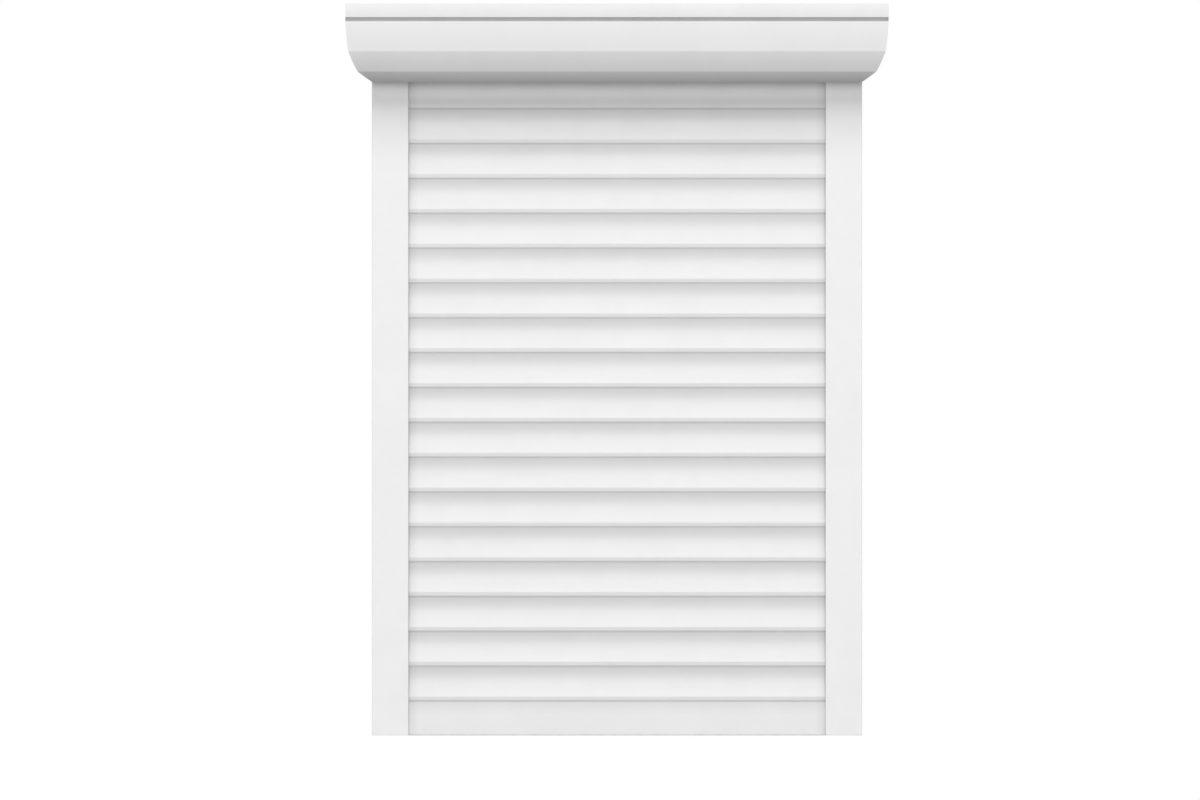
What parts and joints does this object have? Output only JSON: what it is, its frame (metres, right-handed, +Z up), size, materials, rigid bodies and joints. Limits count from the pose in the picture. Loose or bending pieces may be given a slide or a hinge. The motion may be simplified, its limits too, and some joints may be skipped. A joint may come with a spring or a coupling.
{
  "type": "exterior roller shutter",
  "caption": "White exterior roller shutter: faceted headbox over two side guides, with a curtain of curved slats, a flat bottom bar and a tubular motor in the winding tube.",
  "frame": {"origin": "on the wall plane at sill level, midway between the guides", "axes": "+X to the right seen from outside, +Y into the wall, +Z up"},
  "size_m": [1.663, 0.245, 2.24],
  "materials": {
    "box_paint": "satin",
    "guide_paint": "satin",
    "slat_paint": "satin",
    "white_plastic": "satin",
    "grey_plastic": "matte",
    "black_plastic": "matte",
    "galvanised_steel": "satin",
    "bearing_steel": "polished",
    "fastener_steel": "satin",
    "motor_paint": "satin",
    "soft_strip": "matte",
    "foam": "matte",
    "seal_rubber": "matte",
    "black_rubber": "matte"
  },
  "bodies": {
    "housing": {"box_top_panel": "box_paint", "box_back_panel": "box_paint", "box_front_cover": "box_paint", "box_bottom_panel": "box_paint", "box_end_cap_left": "box_paint", "box_end_cap_right": "box_paint", "head_plate_left": "galvanised_steel", "head_plate_right": "galvanised_steel", "head_plate_screws": "fastener_steel", "cover_screws": "fastener_steel", "guide_base_left": "guide_paint", "guide_base_right": "guide_paint", "guide_cover_left": "guide_paint", "guide_cover_right": "guide_paint", "guide_end_plugs": "white_plastic", "guide_seals": "soft_strip", "inlet_funnels": "white_plastic", "inlet_seal": "soft_strip", "motor_tube": "motor_paint", "motor_head": "black_plastic", "motor_bracket": "galvanised_steel", "motor_clip": "galvanised_steel", "bearing_holder": "galvanised_steel", "bearing_outer_ring": "bearing_steel", "cable_grommet": "black_rubber"},
    "tube": {"octagonal_tube": "galvanised_steel", "idler_capsule": "grey_plastic", "idler_pin": "bearing_steel", "bearing_inner_ring": "bearing_steel", "drive_wheel": "grey_plastic", "motor_shaft": "bearing_steel", "motor_crown": "grey_plastic", "hanger_rings": "grey_plastic", "tube_rivets": "fastener_steel"},
    "bearing_balls": {"bearing_balls": "bearing_steel"},
    "curtain": {"slat_01": "slat_paint", "slat_02": "slat_paint", "slat_03": "slat_paint", "slat_04": "slat_paint", "slat_05": "slat_paint", "slat_06": "slat_paint", "slat_07": "slat_paint", "slat_08": "slat_paint", "slat_09": "slat_paint", "slat_10": "slat_paint", "slat_11": "slat_paint", "slat_12": "slat_paint", "slat_13": "slat_paint", "slat_14": "slat_paint", "slat_15": "slat_paint", "slat_16": "slat_paint", "slat_17": "slat_paint", "slat_18": "slat_paint", "slat_cores": "foam", "end_locks": "white_plastic", "bottom_bar": "slat_paint", "bottom_seal": "seal_rubber", "bottom_bar_caps": "white_plastic"},
    "top_slat": {"top_slat": "slat_paint"},
    "hanger_links": {"hanger_links": "grey_plastic"}
  },
  "joints": [
    {"name": "curtain_lift", "type": "slide", "parent": "housing", "child": "curtain", "axis": [0, 0, 1], "range_m": [0, 0.19]},
    {"name": "tube_spin", "type": "hinge", "parent": "housing", "child": "tube", "pos_m": [0, -0.128, 2.11], "axis": [1, 0, 0], "range_deg": [0, 296]},
    {"name": "bearing_roll", "type": "hinge", "parent": "housing", "child": "bearing_balls", "pos_m": [-0.723, -0.128, 2.11], "axis": [1, 0, 0], "range_deg": [0, 119]},
    {"name": "top_slat_tilt", "type": "hinge", "parent": "curtain", "child": "top_slat", "pos_m": [0, -0.03, 2.0254], "axis": [1, 0, 0], "range_deg": [0, 60]},
    {"name": "hanger_swing", "type": "hinge", "parent": "top_slat", "child": "hanger_links", "pos_m": [0, -0.06646, 2.12557], "axis": [1, 0, 0], "range_deg": [0, 28]}
  ],
  "couplings": [
    {"joint": "tube_spin", "follows": "curtain_lift", "rad_per_m": 27.17},
    {"joint": "bearing_roll", "follows": "curtain_lift", "rad_per_m": 10.868},
    {"joint": "top_slat_tilt", "follows": "curtain_lift", "rad_per_m": 5.511},
    {"joint": "hanger_swing", "follows": "curtain_lift", "rad_per_m": 2.5715}
  ]
}
